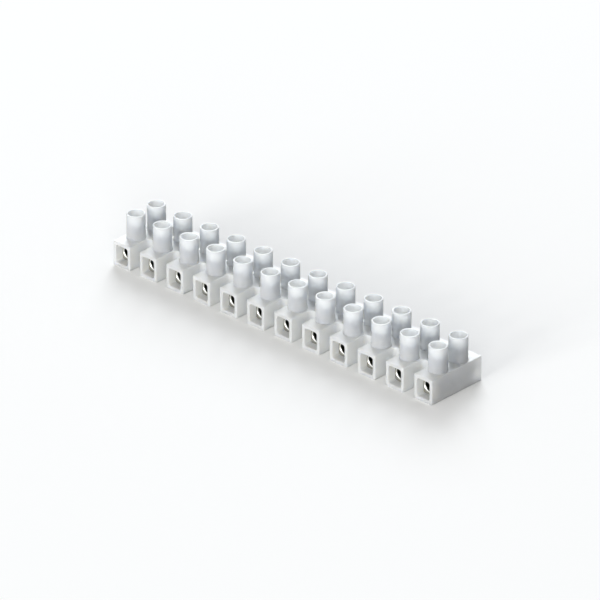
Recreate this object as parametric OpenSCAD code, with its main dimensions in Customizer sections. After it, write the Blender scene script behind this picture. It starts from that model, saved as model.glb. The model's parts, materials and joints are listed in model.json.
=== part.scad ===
// Twelve-way screw terminal strip: one moulded housing, a metal clamp tube through each way, and two
// slotted clamp screws in each tube, reached down open round towers.
// The strip lies along X with its wire entries facing -Y and +Y, and stands on Z = 0.

/* [Strip] */
// Number of ways
ways = 12; // [2:1:12]
// Distance from one way to the next
pitch = 10; // [9:0.1:14]
// Depth of the strip, from the front wire entries to the rear ones
strip_d = 19.3; // [18:0.1:24]

/* [Blocks] */
// Width of the channel that holds a clamp tube
channel_w = 4.4; // [4.2:0.1:5]
// Height of the channel
channel_h = 5.2; // [5:0.1:6]
// Radius of the channel's corners
channel_r = 0.7; // [0.4:0.1:1.6]
// Width of the chamfer that opens each mouth of the channel
mouth_chamfer = 0.3; // [0.1:0.05:0.5]
// Wall on each side of the channel
side_wall = 0.95; // [0.7:0.05:1.3]
// Wall under the channel
floor_t = 1; // [0.7:0.1:1.5]
// Wall over the channel
roof_t = 1; // [0.7:0.1:1.5]
// Radius of the upright corners of each block
block_r = 0.3; // [0.1:0.1:1.5]

/* [Webs] */
// Thickness of the web that joins two blocks, from front to rear
web_t = 4.4; // [3.8:0.1:6]
// Radius where the web runs into the blocks
web_r = 1.4; // [0.4:0.1:1.7]
// Diameter of the fixing hole down through each web
fixing_hole_d = 3.2; // [2.5:0.1:3.6]

/* [Towers] */
// Distance between the front and the rear row of towers
tower_spacing = 7.8; // [6.5:0.1:9]
// Height of the towers above the blocks
tower_h = 7.2; // [6:0.1:9]
// Diameter of the bore that takes the screw's head and the screwdriver
tower_bore_d = 4.2; // [4:0.1:4.6]
// Wall of the towers
tower_wall = 0.5; // [0.4:0.05:0.8]
// Chamfer on each side of the towers' rims
rim_chamfer = 0.15; // [0.05:0.05:0.2]

/* [Clamp tubes] */
// Length of a clamp tube
tube_l = 14.2; // [12:0.1:16]
// Diameter of the wire bore
wire_bore_d = 3.2; // [2.6:0.1:3.4]
// Width of the chamfer at each mouth of the wire bore
bore_chamfer = 0.25; // [0.1:0.05:0.4]
// Clearance between a tube and its channel on each side
tube_clear = 0.1; // [0.05:0.01:0.2]

/* [Clamp screws] */
// Outside diameter of the screw's thread
thread_d = 2.9; // [2.5:0.1:3.1]
// Clearance between the thread and its hole on each side
thread_clear = 0.1; // [0.05:0.01:0.2]
// Length of the screw under its head
shank_l = 4.7; // [4:0.1:5.5]
// Length of the tip, which tapers at 45 degrees so that it reaches the round floor of the wire bore
tip_l = 1; // [0.8:0.05:1.2]
// Height of the head
head_h = 1.7; // [1.2:0.1:2.2]
// Clearance between the head and the tower's bore on each side
head_clear = 0.15; // [0.1:0.01:0.3]
// Chamfer round the top of the head
head_chamfer = 0.25; // [0.1:0.05:0.4]
// Width of the driver slot
slot_w = 0.7; // [0.5:0.1:1]
// Depth of the driver slot
slot_d = 0.8; // [0.5:0.1:1.1]
// Height of an open screw's tip over the wire bore
tip_gap = 0.1; // [0.05:0.05:0.3]

/* [Hidden] */
$fn = 64;
cut = 1;

block_w = channel_w + 2 * side_wall;
block_h = floor_t + channel_h + roof_t;
gap_w = pitch - block_w;
fillet_r = min(web_r, gap_w / 2);
channel_z = floor_t + channel_h / 2;

tower_r = tower_bore_d / 2 + tower_wall;
tower_top = block_h + tower_h;

tube_w = channel_w - 2 * tube_clear;
tube_h = channel_h - 2 * tube_clear;
tube_r = max(channel_r - tube_clear, tube_clear);
thread_hole_d = thread_d + 2 * thread_clear;

head_d = tower_bore_d - 2 * head_clear;
tip_d = thread_d - 2 * tip_l;
tip_z = channel_z + wire_bore_d / 2 + tip_gap;
head_z = tip_z + shank_l;

plastic = [0.92, 0.93, 0.92];
nickel = [0.74, 0.72, 0.66];
zinc = [0.70, 0.71, 0.72];

function two_digits(n) = str(n < 10 ? "0" : "", n);
function tube_name(way) = str("clamp_tube_", two_digits(way));
function front_screw_name(way) = str("clamp_screw_front_", two_digits(way));
function rear_screw_name(way) = str("clamp_screw_rear_", two_digits(way));
function way_x(way) = (way - (ways + 1) / 2) * pitch;

// A rectangle about the origin with rounded corners
module rounded_rect(w, h, r) {
    square([w - 2 * r, h], center = true);
    square([w, h - 2 * r], center = true);
    for (x = [-1, 1], y = [-1, 1]) {
        translate([x * (w / 2 - r), y * (h / 2 - r)]) circle(r);
    }
}

// The hollow corner of a fillet, with its two straight sides along +X and +Y from the origin
module fillet_corner(r) {
    difference() {
        square(r);
        translate([r, r]) circle(r);
    }
}

// A rounded bar along Y, seen end on as a rounded rectangle
module bar_along_y(w, h, r, l) {
    rotate([90, 0, 0]) linear_extrude(l, center = true) rounded_rect(w, h, r);
}

// A tapered plug along Z, w by h at the origin and a chamfer wider on each side at its upper end
module funnel(w, h, chamfer) {
    intersection() {
        rotate([90, 0, 0]) linear_extrude(h + 4 * chamfer, center = true) funnel_section(w, chamfer);
        rotate([90, 0, 90]) linear_extrude(w + 4 * chamfer, center = true) funnel_section(h, chamfer);
    }
}

// Section of a tapered plug across one of its two widths, going on past its wide end to the outside
module funnel_section(w, chamfer) {
    polygon([
        [w / 2, 0],
        [w / 2 + chamfer, chamfer],
        [w / 2 + chamfer, chamfer + cut],
        [-w / 2 - chamfer, chamfer + cut],
        [-w / 2 - chamfer, chamfer],
        [-w / 2, 0],
    ]);
}

// Plan of the web between two blocks, with a fillet in each of its four corners
module web_plan() {
    square([gap_w + side_wall, web_t], center = true);
    for (x = [0, 1], y = [0, 1]) {
        mirror([x, 0]) mirror([0, y]) translate([-gap_w / 2, web_t / 2]) fillet_corner(fillet_r);
    }
}

// Plan of the whole moulding below its towers
module strip_plan() {
    for (way = [1:ways]) {
        translate([way_x(way), 0]) rounded_rect(block_w, strip_d, block_r);
    }
    for (way = [1:ways - 1]) {
        translate([way_x(way) + pitch / 2, 0]) web_plan();
    }
}

// Half section of a tower's wall, with its rim chamfered on both sides
module tower_section() {
    polygon([
        [tower_bore_d / 2, block_h - roof_t / 2],
        [tower_r, block_h - roof_t / 2],
        [tower_r, tower_top - rim_chamfer],
        [tower_r - rim_chamfer, tower_top],
        [tower_bore_d / 2 + rim_chamfer, tower_top],
        [tower_bore_d / 2, tower_top - rim_chamfer],
    ]);
}

// Puts its children on the axis of each tower and screw of a way
module at_towers() {
    for (side = [-1, 1]) {
        translate([0, side * tower_spacing / 2, 0]) children();
    }
}

// The moulding of blocks, webs and towers in one piece
module housing() {
    color(plastic) difference() {
        union() {
            linear_extrude(block_h) strip_plan();
            for (way = [1:ways]) {
                translate([way_x(way), 0, 0]) at_towers() rotate_extrude() tower_section();
            }
        }
        for (way = [1:ways]) {
            translate([way_x(way), 0, channel_z]) {
                bar_along_y(channel_w, channel_h, channel_r, strip_d + 2 * cut);
                for (turn = [90, -90]) {
                    rotate([turn, 0, 0]) translate([0, 0, strip_d / 2 - mouth_chamfer]) {
                        funnel(channel_w, channel_h, mouth_chamfer);
                    }
                }
            }
            translate([way_x(way), 0, channel_z]) at_towers() cylinder(d = tower_bore_d, h = block_h - channel_z + cut);
        }
        for (way = [1:ways - 1]) {
            translate([way_x(way) + pitch / 2, 0, -cut]) cylinder(d = fixing_hole_d, h = block_h + 2 * cut);
        }
    }
}

// A metal tube with a round wire bore, chamfered mouths and two cross holes for the screws
module clamp_tube() {
    color(nickel) translate([0, 0, channel_z]) difference() {
        bar_along_y(tube_w, tube_h, tube_r, tube_l);
        rotate([90, 0, 0]) cylinder(d = wire_bore_d, h = tube_l + 2 * cut, center = true);
        for (turn = [90, -90]) {
            rotate([turn, 0, 0]) translate([0, 0, tube_l / 2 - bore_chamfer]) {
                cylinder(d1 = wire_bore_d, d2 = wire_bore_d + 2 * (bore_chamfer + cut), h = bore_chamfer + cut);
            }
        }
        at_towers() cylinder(d = thread_hole_d, h = tube_h);
    }
}

// A slotted screw, its tip just clear of the wire bore
module clamp_screw() {
    color(zinc) difference() {
        union() {
            translate([0, 0, tip_z]) cylinder(d1 = tip_d, d2 = thread_d, h = tip_l);
            translate([0, 0, tip_z + tip_l]) cylinder(d = thread_d, h = shank_l - tip_l);
            translate([0, 0, head_z]) cylinder(d = head_d, h = head_h - head_chamfer);
            translate([0, 0, head_z + head_h - head_chamfer]) {
                cylinder(d1 = head_d, d2 = head_d - 2 * head_chamfer, h = head_chamfer);
            }
        }
        translate([0, 0, head_z + head_h - slot_d + cut]) cube([head_d + cut, slot_w, 2 * cut], center = true);
    }
}

housing();
for (way = [1:ways]) {
    union() {
        translate([way_x(way), 0, 0]) clamp_tube();
    }
    union() {
        translate([way_x(way), -tower_spacing / 2, 0]) clamp_screw();
    }
    union() {
        translate([way_x(way), tower_spacing / 2, 0]) clamp_screw();
    }
}
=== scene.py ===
"""Studio look of a twelve-way screw terminal strip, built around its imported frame.

The moulded housing, the clamp tubes and the clamp screws are modelled in the places that the frame gives,
with rounded edges, drilled mouths and cut threads, and dressed in milky plastic and plated metal.
"""

import json
import logging
import math
from collections.abc import Callable, Sequence
from dataclasses import dataclass, field
from enum import Enum

import bpy
from mathutils import Matrix, Vector

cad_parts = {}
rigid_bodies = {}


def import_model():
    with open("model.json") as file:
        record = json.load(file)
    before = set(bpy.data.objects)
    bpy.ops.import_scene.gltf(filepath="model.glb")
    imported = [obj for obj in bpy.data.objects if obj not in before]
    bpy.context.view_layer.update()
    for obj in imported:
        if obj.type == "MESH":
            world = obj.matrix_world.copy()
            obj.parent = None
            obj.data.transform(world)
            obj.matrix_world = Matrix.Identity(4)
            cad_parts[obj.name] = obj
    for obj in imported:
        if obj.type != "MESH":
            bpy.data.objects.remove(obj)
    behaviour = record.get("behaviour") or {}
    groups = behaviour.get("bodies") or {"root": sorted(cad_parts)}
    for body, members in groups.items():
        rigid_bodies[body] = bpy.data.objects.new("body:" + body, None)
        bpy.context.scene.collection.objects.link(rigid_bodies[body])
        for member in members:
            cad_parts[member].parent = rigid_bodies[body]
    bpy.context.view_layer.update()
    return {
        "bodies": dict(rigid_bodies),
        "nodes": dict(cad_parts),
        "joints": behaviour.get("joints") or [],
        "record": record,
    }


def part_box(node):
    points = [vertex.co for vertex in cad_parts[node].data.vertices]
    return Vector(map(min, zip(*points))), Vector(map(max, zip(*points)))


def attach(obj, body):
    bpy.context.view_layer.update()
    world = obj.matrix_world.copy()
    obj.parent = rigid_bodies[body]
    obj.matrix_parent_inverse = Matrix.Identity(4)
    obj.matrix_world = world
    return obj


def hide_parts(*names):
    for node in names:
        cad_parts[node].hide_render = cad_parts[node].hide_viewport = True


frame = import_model()

LOG = logging.getLogger("terminal_strip")
MM = 0.001
# Lengths closer than this are the same
NEAR = 2e-6
MERGE_REACH = NEAR / 4
SLICE_REACH = NEAR / 10
# How far a tool goes past the surface that it cuts
SKIM = 0.005 * MM
# Fold of an edge that counts as a corner, and cosine at which a face looks along a direction
CORNER_DEG = 60.0
FACING = 0.9
ROUND_SIDES = 56
CHAMFER_STEPS = 1
WHITE = (1.0, 1.0, 1.0, 1.0)
COOL = (0.93, 0.97, 1.0)
WARM = (1.0, 1.0, 0.98)
# Numbers of the Mix node's sockets for colours
MIX_COLOURS_IN = (6, 7)
MIX_COLOUR_OUT = 2
UP = Vector((0.0, 0.0, 1.0))
FRONT = Vector((0.0, -1.0, 0.0))


class Combine(Enum):
    """Ways in which one solid is worked into another."""

    CUT = "DIFFERENCE"
    JOIN = "UNION"
    TRIM = "INTERSECT"


class Row(Enum):
    """The two rows of towers, by the word in their nodes' names."""

    FRONT = "front"
    REAR = "rear"


@dataclass(frozen=True)
class StripPlan:
    """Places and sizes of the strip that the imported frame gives, in metres."""

    way_x: tuple[float, ...]
    row_y: dict[Row, float]
    housing_low: Vector
    housing_high: Vector
    tube_size: Vector
    tube_z: float
    screw_low: Vector
    screw_high: Vector
    wire_r: float
    fixing_r: float

    @classmethod
    def from_frame(cls, packed: dict) -> "StripPlan":
        """Read the plan from the loaded frame.


        Returns:
            The plan, with its ways in order along X.
        """
        ways = sum(name.startswith("clamp_tube_") for name in packed["nodes"])
        tubes = [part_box(f"clamp_tube_{way:02d}") for way in range(1, ways + 1)]
        screws = {row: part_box(f"clamp_screw_{row.value}_01") for row in Row}
        mounts = packed["record"]["mounts"]
        housing_low, housing_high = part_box("housing")
        return cls(
            way_x=tuple((low.x + high.x) / 2 for low, high in tubes),
            row_y={row: (low.y + high.y) / 2 for row, (low, high) in screws.items()},
            housing_low=housing_low,
            housing_high=housing_high,
            tube_size=tubes[0][1] - tubes[0][0],
            tube_z=(tubes[0][0].z + tubes[0][1].z) / 2,
            screw_low=screws[Row.FRONT][0],
            screw_high=screws[Row.FRONT][1],
            wire_r=next(m["dims"]["r_mm"] for m in mounts if m["kind"] == "bore") * MM,
            fixing_r=next(m["dims"]["hole_r_mm"] for m in mounts if m["kind"] == "bolt_pattern") * MM,
        )

    @property
    def web_x(self) -> list[float]:
        """Middle of each web between two ways, along X."""
        return [(a + b) / 2 for a, b in zip(self.way_x, self.way_x[1:])]

    @property
    def tower_places(self) -> list[Vector]:
        """Foot of every tower's axis, on the plane that the strip stands on."""
        return [Vector((x, y, 0.0)) for x in self.way_x for y in self.row_y.values()]


@dataclass(frozen=True)
class EdgeFacts:
    """An edge's two ends, and the normals and middles of the faces that meet in it."""

    a: Vector
    b: Vector
    normals: tuple[Vector, ...]
    middles: tuple[Vector, ...]

    @property
    def fold(self) -> float:
        """Angle between the two faces, in degrees, or 0 where there aren't two."""
        if len(self.normals) != 2 or any(n.length < NEAR for n in self.normals):
            return 0.0
        return math.degrees(self.normals[0].angle(self.normals[1]))

    @property
    def corner(self) -> bool:
        """Whether the two faces meet in a sharp corner."""
        return self.fold > CORNER_DEG

    @property
    def hollow(self) -> bool:
        """Whether the two faces meet in an inner corner."""
        return len(self.normals) == 2 and (self.middles[1] - self.middles[0]).dot(self.normals[0]) > NEAR

    def both(self, test: Callable[[Vector], bool]) -> bool:
        """Say whether both ends of the edge pass a test."""
        return test(self.a) and test(self.b)

    def is_upright(self) -> bool:
        """Say whether the edge runs along Z."""
        return math.hypot(self.a.x - self.b.x, self.a.y - self.b.y) < NEAR


def near(a: float, b: float) -> bool:
    """Say whether two lengths are the same but for rounding."""
    return abs(a - b) < NEAR


def corner_at(height: float) -> Callable[[EdgeFacts], bool]:
    """Make a test for the sharp edges at one height."""
    return lambda edge: edge.corner and edge.both(lambda p: near(p.z, height))


def along_y(edge: EdgeFacts) -> bool:
    """Say whether an edge runs along Y."""
    return near(edge.a.x, edge.b.x) and near(edge.a.z, edge.b.z)


class Workpiece:
    """One mesh object, shaped by the operations of a modeller's bench."""

    def __init__(self, obj: bpy.types.Object, name: str) -> None:
        """Take over a new object, with its place moved into its mesh.

        Args:
            obj: The object.
            name: The name that it gets.
        """
        self.obj = obj
        obj.name = name
        self.take()
        bpy.ops.object.transform_apply(location=True, rotation=True, scale=True)

    @classmethod
    def box(cls, name: str, low: Vector, high: Vector) -> "Workpiece":
        """Add a box.

        Args:
            name: The new object's name.
            low: The corner where X, Y and Z are least.
            high: The corner where they are greatest.

        Returns:
            The box.
        """
        bpy.ops.object.select_all(action="DESELECT")
        bpy.ops.mesh.primitive_cube_add(size=1.0, location=(low + high) / 2)
        bpy.context.object.scale = high - low
        return cls(bpy.context.object, name)

    @classmethod
    def rod(cls, name: str, start: Vector, end: Vector, radius: float) -> "Workpiece":
        """Add a round rod.

        Args:
            name: The new object's name.
            start: Middle of one end face.
            end: Middle of the other end face.
            radius: The rod's radius.

        Returns:
            The rod.
        """
        bpy.ops.object.select_all(action="DESELECT")
        axis = end - start
        bpy.ops.mesh.primitive_cylinder_add(
            vertices=ROUND_SIDES,
            radius=radius,
            depth=axis.length,
            location=(start + end) / 2,
            rotation=axis.to_track_quat("Z", "Y").to_euler(),
        )
        return cls(bpy.context.object, name)

    def take(self) -> None:
        """Make this the only selected object, and the active one."""
        bpy.ops.object.select_all(action="DESELECT")
        self.obj.select_set(True)
        bpy.context.view_layer.objects.active = self.obj

    def _edges(self) -> list[EdgeFacts]:
        """Facts of every edge, in the mesh's own order."""
        mesh = self.obj.data
        meeting: dict[tuple[int, int], list[bpy.types.MeshPolygon]] = {edge.key: [] for edge in mesh.edges}
        for face in mesh.polygons:
            for key in face.edge_keys:
                meeting[key].append(face)
        return [
            EdgeFacts(
                *(mesh.vertices[i].co.copy() for i in edge.vertices),
                normals=tuple(face.normal.copy() for face in meeting[edge.key]),
                middles=tuple(face.center.copy() for face in meeting[edge.key]),
            )
            for edge in mesh.edges
        ]

    def pick(self, kind: str, chosen: Sequence[bool]) -> None:
        """Enter edit mode with only the chosen edges or faces selected.

        Args:
            kind: EDGE or FACE.
            chosen: One answer for each edge or face, in the mesh's order.
        """
        if not any(chosen):
            raise ValueError(f"nothing to pick on {self.obj.name}")
        self.take()
        bpy.ops.object.mode_set(mode="EDIT")
        bpy.ops.mesh.select_mode(type=kind)
        bpy.ops.mesh.select_all(action="DESELECT")
        bpy.ops.object.mode_set(mode="OBJECT")
        elements = self.obj.data.edges if kind == "EDGE" else self.obj.data.polygons
        elements.foreach_set("select", list(chosen))
        bpy.ops.object.mode_set(mode="EDIT")

    def bevel(self, test: Callable[[EdgeFacts], bool], width: float, steps: int) -> None:
        """Round or chamfer the edges that pass a test.

        Args:
            test: Picks the edges.
            width: Distance from the edge to each side of the bevel.
            steps: Number of flats, 1 for a chamfer.
        """
        self.pick("EDGE", [test(edge) for edge in self._edges()])
        bpy.ops.mesh.bevel(
            offset=width, offset_type="OFFSET", segments=steps, affect="EDGES", clamp_overlap=False
        )
        bpy.ops.object.mode_set(mode="OBJECT")

    def extrude(self, test: Callable[[Vector, Vector], bool], move: Vector) -> None:
        """Draw out the faces that pass a test.

        Args:
            test: Picks the faces by centre and normal.
            move: How far they are drawn, and in which direction.
        """
        self.pick("FACE", [test(face.center.copy(), face.normal.copy()) for face in self.obj.data.polygons])
        bpy.ops.mesh.extrude_region_move(TRANSFORM_OT_translate={"value": move})
        bpy.ops.object.mode_set(mode="OBJECT")

    def collar(
        self, end: Vector, outward: Vector, grow: float, reach: float, width: float, steps: int
    ) -> None:
        """Widen one end of a tool in a softened step, so that the mouth or foot it leaves is softened too.

        Args:
            end: Middle of the end face.
            outward: Direction that the end faces.
            grow: How many times wider the collar is.
            reach: How far the collar goes on.
            width: Radius of the step's rounding, or width of its chamfer.
            steps: Number of flats in the step, 1 for a chamfer.
        """

        def in_end(point: Vector) -> bool:
            """Say whether a point lies in the plane of the end face."""
            return abs((point - end).dot(outward)) < NEAR

        faces = self.obj.data.polygons
        self.pick("FACE", [face.normal.dot(outward) > FACING and in_end(face.center) for face in faces])
        bpy.ops.mesh.extrude_region_move(TRANSFORM_OT_translate={"value": (0.0, 0.0, 0.0)})
        bpy.ops.transform.resize(value=(grow, grow, grow), center_override=end)
        bpy.ops.mesh.extrude_region_move(TRANSFORM_OT_translate={"value": outward * reach})
        bpy.ops.object.mode_set(mode="OBJECT")
        self.bevel(lambda e: e.hollow and e.corner and e.both(in_end), width, steps)

    def slice(self, point: Vector, normal: Vector, keep_below: bool = False) -> None:
        """Cut all faces along a plane.

        Args:
            point: A point of the plane.
            normal: The plane's normal.
            keep_below: Throw away the side that the normal points to, and close the cut.
        """
        self.take()
        bpy.ops.object.mode_set(mode="EDIT")
        bpy.ops.mesh.select_all(action="SELECT")
        bpy.ops.mesh.bisect(
            plane_co=point,
            plane_no=normal,
            clear_outer=keep_below,
            use_fill=keep_below,
            threshold=SLICE_REACH,
        )
        bpy.ops.object.mode_set(mode="OBJECT")

    def combine(self, tool: "Workpiece", how: Combine) -> None:
        """Work another solid into this one, and use it up.

        Args:
            tool: The other solid.
            how: Whether it is cut away, joined on or trims this one.
        """
        modifier = self.obj.modifiers.new(how.name.lower(), "BOOLEAN")
        modifier.operation = how.value
        modifier.solver = "EXACT"
        modifier.object = tool.obj
        self.take()
        bpy.ops.object.modifier_apply(modifier=modifier.name)
        bpy.data.meshes.remove(tool.obj.data)

    def spread(self, moves: Sequence[Vector]) -> "Workpiece":
        """Set a copy of this piece at each of several moves from it, all in one object.

        Args:
            moves: Moves from where the piece is now.

        Returns:
            The joined copies. The piece itself is used up.
        """
        copies = [self.copy(f"{self.obj.name}_{i}", Matrix.Translation(move)) for i, move in enumerate(moves)]
        bpy.data.meshes.remove(self.obj.data)
        copies[0].take()
        for other in copies[1:]:
            other.obj.select_set(True)
        if len(copies) > 1:
            bpy.ops.object.join()
        return copies[0]

    def copy(self, name: str, place: Matrix) -> "Workpiece":
        """Copy the piece with a mesh of its own.

        Args:
            name: The copy's name.
            place: Turn and move from this piece to the copy.

        Returns:
            The copy.
        """
        twin = self.obj.copy()
        twin.data = self.obj.data.copy()
        twin.data.transform(place)
        bpy.context.scene.collection.objects.link(twin)
        return Workpiece(twin, name)

    def clean(self) -> None:
        """Merge doubled points and turn all faces outwards."""
        self.take()
        bpy.ops.object.mode_set(mode="EDIT")
        bpy.ops.mesh.select_all(action="SELECT")
        bpy.ops.mesh.remove_doubles(threshold=MERGE_REACH)
        bpy.ops.mesh.normals_make_consistent(inside=False)
        bpy.ops.object.mode_set(mode="OBJECT")

    def smooth(self, sharp_deg: float) -> None:
        """Shade the piece smooth, with its flats kept flat.

        Args:
            sharp_deg: Fold of an edge from which it stays sharp.
        """
        self.take()
        bpy.ops.object.shade_smooth_by_angle(angle=math.radians(sharp_deg))
        modifier = self.obj.modifiers.new("flats", "WEIGHTED_NORMAL")
        modifier.keep_sharp = True
        bpy.ops.object.modifier_apply(modifier=modifier.name)


class NodeSheet:
    """Adds and links the nodes of one material, group or world."""

    def __init__(self, tree: bpy.types.NodeTree) -> None:
        """Start with an empty tree."""
        self.tree = tree
        tree.nodes.clear()

    def add(self, kind: str, inputs: dict | None = None, **settings: object) -> bpy.types.Node:
        """Add a node.

        Args:
            kind: Blender's name of the node's type.
            inputs: Values, or sockets of other nodes, by input name or number.
            settings: The node's own properties.

        Returns:
            The node.
        """
        node = self.tree.nodes.new(kind)
        for name, value in settings.items():
            setattr(node, name, value)
        for name, value in (inputs or {}).items():
            if isinstance(value, bpy.types.NodeSocket):
                self.tree.links.new(value, node.inputs[name])
            else:
                node.inputs[name].default_value = value
        return node

    def math(self, operation: str, *values: object) -> bpy.types.NodeSocket:
        """Add a Math node and return what it puts out."""
        return self.add("ShaderNodeMath", dict(enumerate(values)), operation=operation).outputs[0]

    def place(self) -> bpy.types.NodeSocket:
        """Add a source of object coordinates and return it."""
        return self.add("ShaderNodeTexCoord").outputs["Object"]

    def noise(
        self, place: bpy.types.NodeSocket, scale: object, detail: float, rough: float = 0.5
    ) -> bpy.types.NodeSocket:
        """Add a noise.

        Args:
            place: Coordinates that it lies on.
            scale: How fine it is, as a number or a socket.
            detail: How many finer layers it has.
            rough: Share of the finer layers.

        Returns:
            A value from 0 to 1.
        """
        inputs = {"Vector": place, "Scale": scale, "Detail": detail, "Roughness": rough}
        return self.add("ShaderNodeTexNoise", inputs).outputs[0]

    def mix(self, factor: bpy.types.NodeSocket, a: object, b: object) -> bpy.types.NodeSocket:
        """Mix two colours, each given as three numbers or as a socket.

        Args:
            factor: 0 for the first colour and 1 for the second.
            a: The first colour.
            b: The second colour.

        Returns:
            The mixed colour.
        """
        node = self.tree.nodes.new("ShaderNodeMix")
        node.data_type = "RGBA"
        self.tree.links.new(factor, node.inputs["Factor"])
        for number, colour in zip(MIX_COLOURS_IN, (a, b)):
            if isinstance(colour, bpy.types.NodeSocket):
                self.tree.links.new(colour, node.inputs[number])
            else:
                node.inputs[number].default_value = (*colour, 1.0)
        return node.outputs[MIX_COLOUR_OUT]

    def group(self, tree: bpy.types.NodeTree, inputs: dict) -> bpy.types.Node:
        """Place a node group with its own values."""
        return self.add("ShaderNodeGroup", inputs, node_tree=tree)


def new_group(name: str, inputs: dict[str, float | Vector], outputs: Sequence[str]) -> NodeSheet:
    """Start a shader node group.

    Args:
        name: The group's name.
        inputs: Its inputs, numbers or vectors, with their defaults.
        outputs: Names of its output values.

    Returns:
        The sheet to add its nodes on.
    """
    tree = bpy.data.node_groups.new(name, "ShaderNodeTree")
    for word, value in inputs.items():
        kind = "NodeSocketVector" if isinstance(value, Vector) else "NodeSocketFloat"
        tree.interface.new_socket(word, in_out="INPUT", socket_type=kind).default_value = value
    for word in outputs:
        tree.interface.new_socket(word, in_out="OUTPUT", socket_type="NodeSocketFloat")
    return NodeSheet(tree)


class SurfaceEffects:
    """Node groups that more than one finish uses."""

    def __init__(self) -> None:
        """Build each group once."""
        self.clouds = self._clouds()
        self.grain = self._grain()
        self.lines = self._lines()
        self.painted_recess_shade = self._recess()

    @staticmethod
    def _clouds() -> bpy.types.NodeTree:
        """Soft patches from 0 to 1, a few millimetres wide."""
        sheet = new_group("soft_clouds", {"Scale": 200.0}, ["Mask"])
        scale = sheet.add("NodeGroupInput").outputs["Scale"]
        noise = sheet.noise(sheet.place(), scale, detail=3.0, rough=0.55)
        spread = sheet.add("ShaderNodeMapRange", {"Value": noise, "From Min": 0.3, "From Max": 0.7})
        sheet.add("NodeGroupOutput", {"Mask": spread.outputs[0]})
        return sheet.tree

    @staticmethod
    def _grain() -> bpy.types.NodeTree:
        """Fine height of a moulded or plated surface, from 0 to 1."""
        sheet = new_group("fine_grain", {"Scale": 6000.0, "Coarse": 0.3, "Widen": 0.12}, ["Height"])
        given = sheet.add("NodeGroupInput").outputs
        fine = sheet.noise(sheet.place(), given["Scale"], detail=2.0)
        wide_scale = sheet.math("MULTIPLY", given["Scale"], given["Widen"])
        wide = sheet.noise(sheet.place(), wide_scale, detail=1.0)
        sheet.add("NodeGroupOutput", {"Height": sheet.math("MULTIPLY_ADD", wide, given["Coarse"], fine)})
        return sheet.tree

    @staticmethod
    def _lines() -> bpy.types.NodeTree:
        """Fine lines that a tool or a die leaves, from 0 to 1, drawn out along axes with a small stretch."""
        sheet = new_group("tool_lines", {"Scale": 2500.0, "Stretch": Vector((1.0, 1.0, 1.0))}, ["Height"])
        given = sheet.add("NodeGroupInput").outputs
        drawn = sheet.add("ShaderNodeMapping", {"Vector": sheet.place(), "Scale": given["Stretch"]})
        lines = sheet.noise(drawn.outputs[0], given["Scale"], detail=2.0)
        sheet.add("NodeGroupOutput", {"Height": lines})
        return sheet.tree

    @staticmethod
    def _recess() -> bpy.types.NodeTree:
        """How open a place lies, from 0 deep in a hollow of its own piece to 1 on a free face, by ambient
        occlusion; the metals darken their colour by it, a painted shade.
        """
        sheet = new_group("recess_shade", {"Reach": 1.2 * MM}, ["Open"])
        reach = sheet.add("NodeGroupInput").outputs["Reach"]
        sky = sheet.add("ShaderNodeAmbientOcclusion", {"Distance": reach}, samples=8, only_local=True)
        sheet.add("NodeGroupOutput", {"Open": sky.outputs["AO"]})
        return sheet.tree


def new_material(name: str) -> tuple[bpy.types.Material, NodeSheet]:
    """Make an empty node material.

    Args:
        name: The material's name.

    Returns:
        The material, and the sheet to add its nodes on.
    """
    material = bpy.data.materials.new(name)
    material.use_nodes = True
    return material, NodeSheet(material.node_tree)


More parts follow.
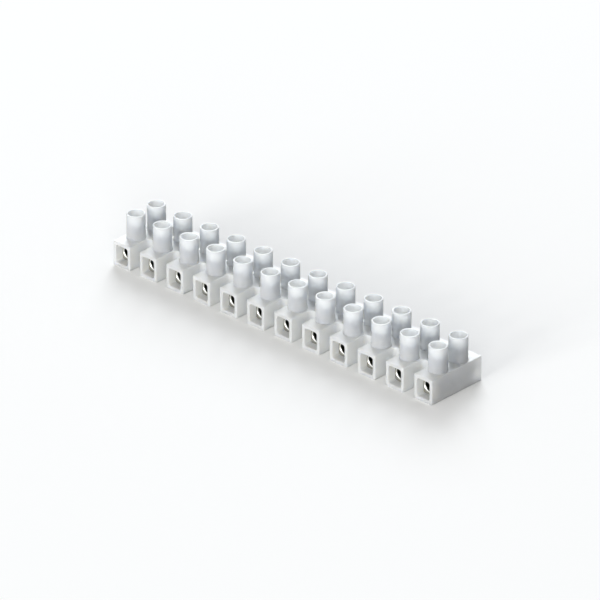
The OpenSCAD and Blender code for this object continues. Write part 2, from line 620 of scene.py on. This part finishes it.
@dataclass(frozen=True)
class MilkyPlastic:
    """Translucent satin plastic: light goes in, scatters, and comes out a millimetre or two away."""

    dense: tuple[float, float, float] = (0.97, 0.98, 0.962)
    clear: tuple[float, float, float] = (0.98, 0.99, 0.972)
    # The towers' upper parts are tinted blue by height: painted light, standing in for the cool light on and
    # through them.
    painted_cool_dense: tuple[float, float, float] = (0.87, 0.925, 0.985)
    painted_cool_clear: tuple[float, float, float] = (0.90, 0.945, 0.995)
    painted_cool_from: float = 9.0 * MM
    painted_cool_full: float = 12.0 * MM
    scatter: float = 3.4 * MM
    scatter_share: tuple[float, float, float] = (1.0, 0.95, 0.85)
    rough_low: float = 0.36
    rough_high: float = 0.46
    ior: float = 1.5
    cloud_scale: float = 140.0
    grain_scale: float = 5200.0
    grain_coarse: float = 0.6
    grain_height: float = 0.012 * MM
    grain_strength: float = 0.6

    def painted_cool_share(self, sheet: NodeSheet) -> bpy.types.NodeSocket:
        """Add nodes that tell the towers' upper parts, 1, from the rest, 0, by height; there the plastic's
        colour is tinted blue, a painted cool light.

        Args:
            sheet: The material's sheet.

        Returns:
            The mask.
        """
        height = sheet.add("ShaderNodeSeparateXYZ", {"Vector": sheet.place()}).outputs["Z"]
        span = {"From Min": self.painted_cool_from, "From Max": self.painted_cool_full}
        return sheet.add("ShaderNodeMapRange", {"Value": height, **span}).outputs[0]

    def material(self, effects: SurfaceEffects) -> bpy.types.Material:
        """Build the finish.

        Args:
            effects: The shared node groups.

        Returns:
            The material.
        """
        material, sheet = new_material("milky_plastic")
        clouds = sheet.group(effects.clouds, {"Scale": self.cloud_scale}).outputs["Mask"]
        # Painted light: above a height the colour turns bluish, standing in for the cool light on and through
        # the towers.
        tint = sheet.mix(
            self.painted_cool_share(sheet),
            sheet.mix(clouds, self.dense, self.clear),
            sheet.mix(clouds, self.painted_cool_dense, self.painted_cool_clear),
        )
        satin = sheet.add(
            "ShaderNodeMapRange", {"Value": clouds, "To Min": self.rough_high, "To Max": self.rough_low}
        )
        grain = sheet.group(effects.grain, {"Scale": self.grain_scale, "Coarse": self.grain_coarse})
        bump = sheet.add(
            "ShaderNodeBump",
            {
                "Height": grain.outputs["Height"],
                "Distance": self.grain_height,
                "Strength": self.grain_strength,
            },
        )
        shader = sheet.add(
            "ShaderNodeBsdfPrincipled",
            {
                "Base Color": tint,
                "Roughness": satin.outputs[0],
                "IOR": self.ior,
                "Subsurface Weight": 1.0,
                "Subsurface Radius": self.scatter_share,
                "Subsurface Scale": self.scatter,
                "Normal": bump.outputs[0],
            },
        )
        sheet.add("ShaderNodeOutputMaterial", {"Surface": shader.outputs[0]})
        return material


@dataclass(frozen=True)
class PaintedBoreLight:
    """Painted light on the metal within a radius of bores that run along Y at a pitch along X: a colour that
    stands in for the light or the shade there.
    """

    pitch: float
    first_x: float
    z: float
    radius: float
    colour: tuple[float, float, float]
    edge: float = 0.06 * MM

    def mask(self, sheet: NodeSheet) -> bpy.types.NodeSocket:
        """Add nodes that tell what lies within the radius, 1, from the rest, 0.

        Args:
            sheet: The material's sheet.

        Returns:
            The mask.
        """
        place = sheet.add("ShaderNodeSeparateXYZ", {"Vector": sheet.place()}).outputs
        from_first = sheet.math("SUBTRACT", place["X"], self.first_x)
        across = sheet.math("WRAP", from_first, self.pitch / 2, -self.pitch / 2)
        upward = sheet.math("SUBTRACT", place["Z"], self.z)
        square = sheet.math("MULTIPLY_ADD", across, across, sheet.math("MULTIPLY", upward, upward))
        span = {"From Min": self.radius + self.edge, "From Max": self.radius}
        return sheet.add("ShaderNodeMapRange", {"Value": sheet.math("SQRT", square), **span}).outputs[0]


@dataclass(frozen=True)
class PlatedMetal:
    """Plated metal with tool lines, cloudy tone, and painted shade that darkens its hollows."""

    name: str
    bright: tuple[float, float, float]
    dull: tuple[float, float, float]
    rough_low: float
    rough_high: float
    line_stretch: tuple[float, float, float]
    line_height: float = 0.004 * MM
    line_scale: float = 2500.0
    line_share: float = 0.7
    line_wear: float = 0.5
    cloud_scale: float = 420.0
    grain_scale: float = 9000.0
    grain_coarse: float = 0.4
    bump_strength: float = 0.7
    # Near-black colour painted where ambient occlusion finds the piece hollow: painted shade.
    painted_recess_shade: tuple[float, float, float] = (0.06, 0.06, 0.055)
    recess_reach: float = 1.2 * MM

    def material(self, effects: SurfaceEffects, painted_bore_layers: Sequence[PaintedBoreLight] = ()) -> bpy.types.Material:
        """Build the finish.

        Args:
            effects: The shared node groups.
            painted_bore_layers: Painted light in and round the pieces' bores, each laid over the one before.

        Returns:
            The material.
        """
        material, sheet = new_material(self.name)
        clouds = sheet.group(effects.clouds, {"Scale": self.cloud_scale}).outputs["Mask"]
        # Painted shade: the colour goes towards near black where ambient occlusion finds the piece hollow,
        # such as slot floors, thread roots and bores.
        free_of_painted_shade = sheet.group(effects.painted_recess_shade, {"Reach": self.recess_reach}).outputs["Open"]
        tint = sheet.mix(free_of_painted_shade, self.painted_recess_shade, sheet.mix(clouds, self.dull, self.bright))
        # Painted light in and round the bores: a bright ring that stands in for a glint, and dark walls that
        # stand in for shade.
        for painted_bore_layer in painted_bore_layers:
            tint = sheet.mix(painted_bore_layer.mask(sheet), tint, painted_bore_layer.colour)
        drawn = sheet.group(effects.lines, {"Scale": self.line_scale, "Stretch": self.line_stretch})
        lines = drawn.outputs["Height"]
        cloud_wear = sheet.math("MULTIPLY", clouds, 1 - self.line_wear)
        worn = sheet.math("MULTIPLY_ADD", lines, self.line_wear, cloud_wear)
        rough = sheet.add(
            "ShaderNodeMapRange", {"Value": worn, "To Min": self.rough_high, "To Max": self.rough_low}
        )
        grain = sheet.group(effects.grain, {"Scale": self.grain_scale, "Coarse": self.grain_coarse})
        grain_part = sheet.math("MULTIPLY", grain.outputs["Height"], 1 - self.line_share)
        height = sheet.math("MULTIPLY_ADD", lines, self.line_share, grain_part)
        bump = sheet.add(
            "ShaderNodeBump",
            {"Height": height, "Distance": self.line_height, "Strength": self.bump_strength},
        )
        shader = sheet.add(
            "ShaderNodeBsdfPrincipled",
            {
                "Base Color": tint,
                "Metallic": 1.0,
                "Roughness": rough.outputs[0],
                "Normal": bump.outputs[0],
            },
        )
        sheet.add("ShaderNodeOutputMaterial", {"Surface": shader.outputs[0]})
        return material


NICKEL_BRASS = PlatedMetal(
    name="nickel_brass",
    bright=(0.52, 0.51, 0.46),
    dull=(0.36, 0.35, 0.31),
    rough_low=0.24,
    rough_high=0.42,
    line_stretch=(1.0, 0.06, 1.0),
)
ZINC_STEEL = PlatedMetal(
    name="zinc_steel",
    bright=(0.80, 0.81, 0.82),
    dull=(0.62, 0.63, 0.65),
    rough_low=0.22,
    rough_high=0.40,
    line_stretch=(1.0, 1.0, 0.4),
)


def dress(piece: Workpiece, material: bpy.types.Material, body: str, node: str) -> None:
    """Give a finished piece its finish and tie it to the frame.

    Args:
        piece: The finished piece.
        material: Its finish.
        body: The body that it rides on.
        node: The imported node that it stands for.
    """
    piece.obj.data.materials.clear()
    piece.obj.data.materials.append(material)
    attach(piece.obj, body)
    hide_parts(node)
    LOG.info("%s: %d faces, rides on %s", piece.obj.name, len(piece.obj.data.polygons), body)


@dataclass
class Housing:
    """The one-piece moulding: twelve blocks on a row of webs, each with a channel and two open towers."""

    plan: StripPlan
    block_h: float = 7.2 * MM
    block_r: float = 0.3 * MM
    web_t: float = 4.4 * MM
    web_r: float = 1.4 * MM
    channel_gap: float = 0.1 * MM
    channel_r: float = 0.7 * MM
    tower_bore_r: float = 2.1 * MM
    tower_wall: float = 0.5 * MM
    top_edge_r: float = 0.22 * MM
    foot_edge_r: float = 0.24 * MM
    mouth_edge_r: float = 0.32 * MM
    tower_foot_r: float = 0.2 * MM
    rim_edge_r: float = 0.16 * MM
    hole_edge_r: float = 0.2 * MM
    tower_sink: float = 0.4 * MM
    foot_room: float = 4 * SKIM
    mouth_grow: float = 1.25
    over: float = 1.0 * MM
    fillet_steps: int = 7
    corner_steps: int = 6
    edge_steps: int = 4
    fine_steps: int = 3
    sharp_deg: float = 35.0
    blocks: list[tuple[float, float]] = field(init=False)

    def __post_init__(self) -> None:
        """Work out where each block starts and ends along X."""
        half = self.plan.housing_high.x - self.plan.way_x[-1]
        self.blocks = [(x - half, x + half) for x in self.plan.way_x]

    @property
    def tower_r(self) -> float:
        """Outside radius of a tower."""
        return self.tower_bore_r + self.tower_wall

    def build(self) -> Workpiece:
        """Model the moulding.

        Returns:
            The finished piece.
        """
        body = self._comb()
        self._round_comb(body)
        body.combine(self._channels(), Combine.CUT)
        body.combine(self._towers(), Combine.JOIN)
        body.combine(self._tower_bores(), Combine.CUT)
        body.combine(self._fixing_holes(), Combine.CUT)
        body.clean()
        body.smooth(self.sharp_deg)
        return body

    def _comb(self) -> Workpiece:
        """Draw a block out of both sides of a spine along X at each way.

        Returns:
            The moulding below its towers, with sharp edges.
        """
        low, high = self.plan.housing_low, self.plan.housing_high
        half_web = self.web_t / 2
        body = Workpiece.box(
            "moulded_housing", Vector((low.x, -half_web, 0.0)), Vector((high.x, half_web, self.block_h))
        )
        for x in sorted(x for block in self.blocks for x in block)[1:-1]:
            body.slice(Vector((x, 0.0, 0.0)), Vector((1.0, 0.0, 0.0)))
        reach = high.y - half_web
        for side in (-1, 1):
            body.extrude(
                lambda centre, normal: normal.y * side > FACING and self._in_block(centre.x),
                Vector((0.0, side * reach, 0.0)),
            )
        return body

    def _in_block(self, x: float) -> bool:
        """Say whether a place along X is within a block, and not in a web."""
        return any(start < x < end for start, end in self.blocks)

    def _round_comb(self, body: Workpiece) -> None:
        """Round the comb's upright corners, then its top and foot edges.

        Args:
            body: The comb.
        """
        low, high = self.plan.housing_low, self.plan.housing_high

        def at_web(edge: EdgeFacts) -> bool:
            """Say whether an edge is an inner corner between a web and a block."""
            at_end = near(edge.a.x, low.x) or near(edge.a.x, high.x)
            return edge.is_upright() and near(abs(edge.a.y), self.web_t / 2) and not at_end

        body.bevel(at_web, self.web_r, self.fillet_steps)
        body.bevel(lambda e: e.is_upright() and near(abs(e.a.y), high.y), self.block_r, self.corner_steps)
        body.bevel(corner_at(self.block_h), self.top_edge_r, self.edge_steps)
        body.bevel(corner_at(0.0), self.foot_edge_r, self.fine_steps)

    def _channels(self) -> Workpiece:
        """Make the hollows that hold the clamp tubes, with softened mouths at the front and the rear.

        Returns:
            The tool that cuts them.
        """
        half = self.plan.tube_size / 2 + Vector((self.channel_gap, 0.0, self.channel_gap))
        half.y = self.plan.housing_high.y + SKIM
        middle = Vector((0.0, 0.0, self.plan.tube_z))
        tool = Workpiece.box("channel", middle - half, middle + half)
        tool.bevel(along_y, self.channel_r, self.fillet_steps)
        for outward in (FRONT, -FRONT):
            end = middle + outward * half.y
            tool.collar(end, outward, self.mouth_grow, self.over, self.mouth_edge_r, self.edge_steps)
        return tool.spread([Vector((x, 0.0, 0.0)) for x in self.plan.way_x])

    def _towers(self) -> Workpiece:
        """Make solid round towers with a softened rim, and a fillet where they stand on the blocks.

        Returns:
            All the towers.
        """
        top = self.plan.housing_high.z
        foot = UP * (self.block_h - SKIM)
        tool = Workpiece.rod("tower", foot, UP * top, self.tower_r)
        tool.bevel(corner_at(top), self.rim_edge_r, self.fine_steps)
        grow = 1 + (self.tower_foot_r + self.foot_room) / self.tower_r
        tool.collar(foot, -UP, grow, self.tower_sink, self.tower_foot_r, self.edge_steps)
        return tool.spread(self.plan.tower_places)

    def _tower_bores(self) -> Workpiece:
        """Make the towers' bores, with softened rims, down into the channels.

        Returns:
            The tool that cuts them.
        """
        top = UP * (self.plan.housing_high.z + SKIM)
        tool = Workpiece.rod("bore", UP * self.plan.tube_z, top, self.tower_bore_r)
        tool.collar(top, UP, self.mouth_grow, self.over, self.rim_edge_r, self.fine_steps)
        return tool.spread(self.plan.tower_places)

    def _fixing_holes(self) -> Workpiece:
        """Make the fixing holes down through the webs, with softened mouths.

        Returns:
            The tool that cuts them.
        """
        top, foot = UP * (self.block_h + SKIM), -UP * SKIM
        tool = Workpiece.rod("hole", foot, top, self.plan.fixing_r)
        tool.collar(top, UP, self.mouth_grow, self.over, self.hole_edge_r, self.fine_steps)
        tool.collar(foot, -UP, self.mouth_grow, self.over, self.hole_edge_r, self.fine_steps)
        return tool.spread([Vector((x, 0.0, 0.0)) for x in self.plan.web_x])


@dataclass
class ClampTube:
    """A drawn metal bar with a wire bore along it and two cross holes for the screws."""

    plan: StripPlan
    corner_r: float = 0.6 * MM
    end_edge: float = 0.12 * MM
    mouth_chamfer: float = 0.25 * MM
    # Painted light in the wire bores: a bright ring on the chamfers stands in for a glint, and near-black
    # walls inside stand in for shade.
    painted_glint: tuple[float, float, float] = (0.9, 0.9, 0.86)
    bore_painted_shade: tuple[float, float, float] = (0.08, 0.08, 0.07)
    cross_hole_r: float = 1.55 * MM
    cross_chamfer: float = 0.12 * MM
    mouth_grow: float = 1.25
    over: float = 1.0 * MM
    corner_steps: int = 7
    edge_steps: int = 2
    sharp_deg: float = 35.0

    def build(self) -> Workpiece:
        """Model one tube, on the strip's middle.

        Returns:
            The finished piece.
        """
        half = self.plan.tube_size / 2
        middle = UP * self.plan.tube_z
        tube = Workpiece.box("clamp_tube", middle - half, middle + half)
        tube.bevel(along_y, self.corner_r, self.corner_steps)
        tube.bevel(
            lambda e: e.corner and e.both(lambda p: near(abs(p.y), half.y)), self.end_edge, self.edge_steps
        )
        front, rear = (middle + side * (half.y + SKIM) for side in (FRONT, -FRONT))
        bore = Workpiece.rod("wire_bore", rear, front, self.plan.wire_r)
        for end, outward in ((front, FRONT), (rear, -FRONT)):
            bore.collar(end, outward, self.mouth_grow, self.over, self.mouth_chamfer, CHAMFER_STEPS)
        tube.combine(bore, Combine.CUT)
        top = UP * (middle.z + half.z + SKIM)
        cross = Workpiece.rod("cross_hole", middle, top, self.cross_hole_r)
        cross.collar(top, UP, self.mouth_grow, self.over, self.cross_chamfer, CHAMFER_STEPS)
        tube.combine(cross.spread([Vector((0.0, y, 0.0)) for y in self.plan.row_y.values()]), Combine.CUT)
        tube.clean()
        tube.smooth(self.sharp_deg)
        return tube

    def painted_bore_lights(self) -> list[PaintedBoreLight]:
        """Work out the painted light of the wire bores: a bright ring on their chamfers, a painted glint, and
        dark walls inside, painted shade.

        Returns:
            The painted layers, each to be laid over the one before.
        """
        first, second = self.plan.way_x[:2]
        return [
            PaintedBoreLight(second - first, first, self.plan.tube_z, radius, colour)
            for radius, colour in (
                (self.plan.wire_r + self.mouth_chamfer, self.painted_glint),
                (self.plan.wire_r, self.bore_painted_shade),
            )
        ]

    def fit(self, material: bpy.types.Material) -> None:
        """Set a tube of its own in every way, then drop the pattern.

        Args:
            material: The tubes' finish.
        """
        pattern = self.build()
        for way, x in enumerate(self.plan.way_x, 1):
            piece = pattern.copy(f"plated_tube_{way:02d}", Matrix.Translation((x, 0.0, 0.0)))
            dress(piece, material, "strip", f"clamp_tube_{way:02d}")
        bpy.data.meshes.remove(pattern.obj.data)


@dataclass
class ClampScrew:
    """A slotted cheese-head screw with a cut thread and a tapered tip."""

    plan: StripPlan
    head_h: float = 1.7 * MM
    head_edge: float = 0.25 * MM
    head_foot_edge: float = 0.08 * MM
    slot_w: float = 0.7 * MM
    slot_d: float = 0.8 * MM
    slot_edge: float = 0.06 * MM
    thread_r: float = 1.45 * MM
    thread_depth: float = 0.3 * MM
    thread_pitch: float = 0.5 * MM
    crest_share: float = 0.12
    tip_chamfer: float = 1.0 * MM
    tip_room: float = 0.1 * MM
    over: float = 1.0 * MM
    spare_turns: int = 2
    turn_steps: int = 36
    rim_steps: int = 4
    fine_steps: int = 2
    sharp_deg: float = 40.0
    slot_turn_deg: float = 137.5

    @property
    def head_r(self) -> float:
        """Radius of the head, which is the widest part of the screw."""
        return (self.plan.screw_high.x - self.plan.screw_low.x) / 2

    def build(self) -> Workpiece:
        """Model one screw, on the Z axis at the height that the frame gives.

        Returns:
            The finished piece.
        """
        screw = self._thread()
        screw.combine(self._tip(), Combine.TRIM)
        screw.combine(self._head(), Combine.JOIN)
        screw.clean()
        screw.smooth(self.sharp_deg)
        return screw

    def _thread(self) -> Workpiece:
        """Wind a ridge round the shank, from below the tip up into the head.

        Returns:
            The threaded shank, with flat ends.
        """
        tip_z, head_z = self.plan.screw_low.z, self.plan.screw_high.z - self.head_h
        start = tip_z - self.spare_turns * self.thread_pitch
        root_r = self.thread_r - self.thread_depth
        flat = self.crest_share / 2
        bpy.ops.object.select_all(action="DESELECT")
        bpy.ops.mesh.primitive_plane_add(size=1.0)
        ridge = Workpiece(bpy.context.object, "screw_thread")
        outline = [
            (root_r, 0.0),
            (self.thread_r, 0.5 - flat),
            (self.thread_r, 0.5 + flat),
            (root_r, 1.0),
        ]
        corners = [ridge.obj.data.vertices[i] for i in (0, 1, 3, 2)]
        for corner, (radius, share) in zip(corners, outline):
            corner.co = Vector((radius, 0.0, start + share * self.thread_pitch))
        closing = {corners[0].index, corners[-1].index}
        ridge.pick("EDGE", [set(edge.vertices) == closing for edge in ridge.obj.data.edges])
        bpy.ops.mesh.delete(type="EDGE")
        bpy.ops.object.mode_set(mode="OBJECT")
        winding = ridge.obj.modifiers.new("winding", "SCREW")
        winding.axis = "Z"
        winding.angle = math.tau
        winding.screw_offset = self.thread_pitch
        winding.iterations = math.ceil((head_z - start) / self.thread_pitch) + self.spare_turns
        winding.steps = winding.render_steps = self.turn_steps
        winding.use_merge_vertices = True
        winding.merge_threshold = NEAR
        bpy.ops.object.modifier_apply(modifier=winding.name)
        ridge.clean()
        ridge.slice(UP * (head_z + self.head_edge), UP, keep_below=True)
        ridge.slice(UP * (tip_z - self.thread_pitch / 2), -UP, keep_below=True)
        ridge.clean()
        return ridge

    def _tip(self) -> Workpiece:
        """Make the rod that trims the thread to its tapered start.

        Returns:
            The rod, wider than the thread, with a chamfered end.
        """
        tip_z, top = self.plan.screw_low.z, self.plan.screw_high.z
        rod = Workpiece.rod("tip", UP * tip_z, UP * top, self.thread_r + self.tip_room)
        rod.bevel(corner_at(tip_z), self.tip_chamfer + self.tip_room, CHAMFER_STEPS)
        return rod

    def _head(self) -> Workpiece:
        """Make the round head, with a softened rim and a driver slot.

        Returns:
            The head.
        """
        top = self.plan.screw_high.z
        foot = top - self.head_h
        head = Workpiece.rod("head", UP * foot, UP * top, self.head_r)
        head.bevel(corner_at(top), self.head_edge, self.rim_steps)
        head.bevel(corner_at(foot), self.head_foot_edge, self.fine_steps)
        reach = Vector((self.head_r + self.over, self.slot_w / 2, 0.0))
        slot = Workpiece.box(
            "slot",
            Vector((-reach.x, -reach.y, top - self.slot_d)),
            Vector((reach.x, reach.y, top + self.over)),
        )
        head.combine(slot, Combine.CUT)
        head.bevel(
            lambda e: e.corner and e.both(lambda p: near(p.z, top) and near(abs(p.y), self.slot_w / 2)),
            self.slot_edge,
            self.fine_steps,
        )
        return head

    def fit(self, material: bpy.types.Material) -> None:
        """Set a screw of its own in every tower, each with its own slot angle, then drop the pattern.

        Args:
            material: The screws' finish.
        """
        pattern = self.build()
        for row_number, (row, y) in enumerate(self.plan.row_y.items()):
            for way, x in enumerate(self.plan.way_x, 1):
                count = row_number * len(self.plan.way_x) + way
                turn = Matrix.Rotation(math.radians(self.slot_turn_deg * count), 4, "Z")
                place = Matrix.Translation((x, y, 0.0)) @ turn
                piece = pattern.copy(f"slotted_screw_{row.value}_{way:02d}", place)
                body = f"screw_{row.value}_{way:02d}"
                dress(piece, material, body, f"clamp_screw_{row.value}_{way:02d}")
        bpy.data.meshes.remove(pattern.obj.data)


@dataclass(frozen=True)
class SoftLamp:
    """A square softbox that looks at the strip from a direction."""

    name: str
    azimuth_deg: float
    elevation_deg: float
    watts: float
    tint: tuple[float, float, float]
    side: float
    distance: float = 4.5

    def hang(self, aim: Vector) -> None:
        """Hang the lamp.

        Args:
            aim: The place that it is pointed at.
        """
        lamp = bpy.data.lights.new(self.name, "AREA")
        lamp.shape = "SQUARE"
        lamp.size = self.side
        lamp.energy = self.watts
        lamp.color = self.tint
        obj = bpy.data.objects.new(self.name, lamp)
        back = direction(self.azimuth_deg, self.elevation_deg)
        obj.location = aim + back * self.distance
        obj.rotation_euler = back.to_track_quat("Z", "Y").to_euler()
        bpy.context.scene.collection.objects.link(obj)


def direction(azimuth_deg: float, elevation_deg: float) -> Vector:
    """Unit vector from the strip towards a viewer. Azimuth 0 stands in front, at -Y, and 90 at +X."""
    a, e = math.radians(azimuth_deg), math.radians(elevation_deg)
    return Vector((math.sin(a) * math.cos(e), -math.cos(a) * math.cos(e), math.sin(e)))


@dataclass(frozen=True)
class Studio:
    """A white floor, soft lamps and the camera that took the photograph."""

    lamps: tuple[SoftLamp, ...] = (
        SoftLamp("rear_left", azimuth_deg=-140.0, elevation_deg=30.0, watts=158.0, tint=COOL, side=2.4),
        SoftLamp("front", azimuth_deg=0.0, elevation_deg=13.0, watts=133.0, tint=WARM, side=1.8),
        SoftLamp("front_right", azimuth_deg=43.0, elevation_deg=14.0, watts=60.0, tint=WARM, side=1.8),
    )
    ambient: float = 0.02
    floor_side: float = 8.0
    floor_tint: tuple[float, float, float] = (0.9, 0.9, 0.9)
    floor_rough: float = 0.9
    floor_lift: float = 0.46
    # Ambient occlusion darkens the floor's glow near the strip, a painted shadow, over this reach and to this
    # power.
    shade_reach: float = 120 * MM
    shade_depth: float = 1.6
    shade_samples: int = 12
    camera_azimuth_deg: float = 43.514
    camera_elevation_deg: float = 27.5
    camera_distance: float = 1.5677
    camera_target: tuple[float, float, float] = (2.156 * MM, 0.0, 7.071 * MM)
    camera_span: float = 10.0
    lens_mm: float = 356.04
    sensor_mm: float = 36.0

    def build(self) -> None:
        """Set up the floor, the light and the camera."""
        self._floor()
        self._world()
        self._camera()
        for lamp in self.lamps:
            lamp.hang(Vector(self.camera_target))
        bpy.context.scene.view_settings.view_transform = "Standard"

    @staticmethod
    def _seen(sheet: NodeSheet) -> bpy.types.NodeSocket:
        """Tell the rays of the camera, of reflections and of clear materials from the rest.

        Args:
            sheet: The material's or the world's sheet.

        Returns:
            A mask that is 1 for them and 0 for the rest.
        """
        rays = sheet.add("ShaderNodeLightPath").outputs
        mirrored = sheet.math("MAXIMUM", rays["Is Glossy Ray"], rays["Is Transmission Ray"])
        return sheet.math("MAXIMUM", rays["Is Camera Ray"], mirrored)

    def _floor(self) -> None:
        """A wide pale floor with the lamps' real shadow of the strip; its glow, which only the camera and
        reflections see, makes it white away from the strip and is darkened near the strip by ambient
        occlusion, a painted shadow.
        """
        bpy.ops.object.select_all(action="DESELECT")
        bpy.ops.mesh.primitive_plane_add(size=self.floor_side)
        floor = Workpiece(bpy.context.object, "floor")
        material, sheet = new_material("white_floor")
        sky = sheet.add(
            "ShaderNodeAmbientOcclusion", {"Distance": self.shade_reach}, samples=self.shade_samples
        )
        # Painted shadow: the glow is darkened near the strip by its ambient occlusion.
        free_of_painted_shade = sheet.math("POWER", sky.outputs["AO"], self.shade_depth)
        lift = sheet.math("MULTIPLY", free_of_painted_shade, self.floor_lift)
        shader = sheet.add(
            "ShaderNodeBsdfPrincipled",
            {
                "Base Color": (*self.floor_tint, 1.0),
                "Roughness": self.floor_rough,
                "Specular IOR Level": 0.0,
                "Emission Color": WHITE,
                "Emission Strength": sheet.math("MULTIPLY", self._seen(sheet), lift),
            },
        )
        sheet.add("ShaderNodeOutputMaterial", {"Surface": shader.outputs[0]})
        floor.obj.data.materials.append(material)

    def _world(self) -> None:
        """Dim light from all round, with white behind for what the camera and reflections see."""
        world = bpy.data.worlds.new("studio")
        world.use_nodes = True
        bpy.context.scene.world = world
        sheet = NodeSheet(world.node_tree)
        dim = sheet.add("ShaderNodeBackground", {"Color": WHITE, "Strength": self.ambient})
        bright = sheet.add("ShaderNodeBackground", {"Color": WHITE, "Strength": 1.0})
        seen = self._seen(sheet)
        mixed = sheet.add("ShaderNodeMixShader", {0: seen, 1: dim.outputs[0], 2: bright.outputs[0]})
        sheet.add("ShaderNodeOutputWorld", {"Surface": mixed.outputs[0]})

    def _camera(self) -> None:
        """The photograph's camera: a long lens, level, from the front right."""
        data = bpy.data.cameras.new("camera")
        data.sensor_width = self.sensor_mm
        data.lens = self.lens_mm
        obj = bpy.data.objects.new("camera", data)
        back = direction(self.camera_azimuth_deg, self.camera_elevation_deg)
        obj.location = Vector(self.camera_target) + back * self.camera_distance
        obj.rotation_euler = back.to_track_quat("Z", "Y").to_euler()
        data.clip_start = self.camera_distance / self.camera_span
        data.clip_end = self.camera_distance * self.camera_span
        bpy.context.scene.collection.objects.link(obj)
        bpy.context.scene.camera = obj


def main() -> None:
    """Build the studio, the finishes and the strip's pieces in order."""
    logging.basicConfig(level=logging.INFO, format="%(name)s: %(message)s")
    plan = StripPlan.from_frame(frame)
    Studio().build()
    effects = SurfaceEffects()
    dress(Housing(plan).build(), MilkyPlastic().material(effects), "strip", "housing")
    tube = ClampTube(plan)
    tube.fit(NICKEL_BRASS.material(effects, tube.painted_bore_lights()))
    ClampScrew(plan).fit(ZINC_STEEL.material(effects))


if __name__ == "__main__":
    main()
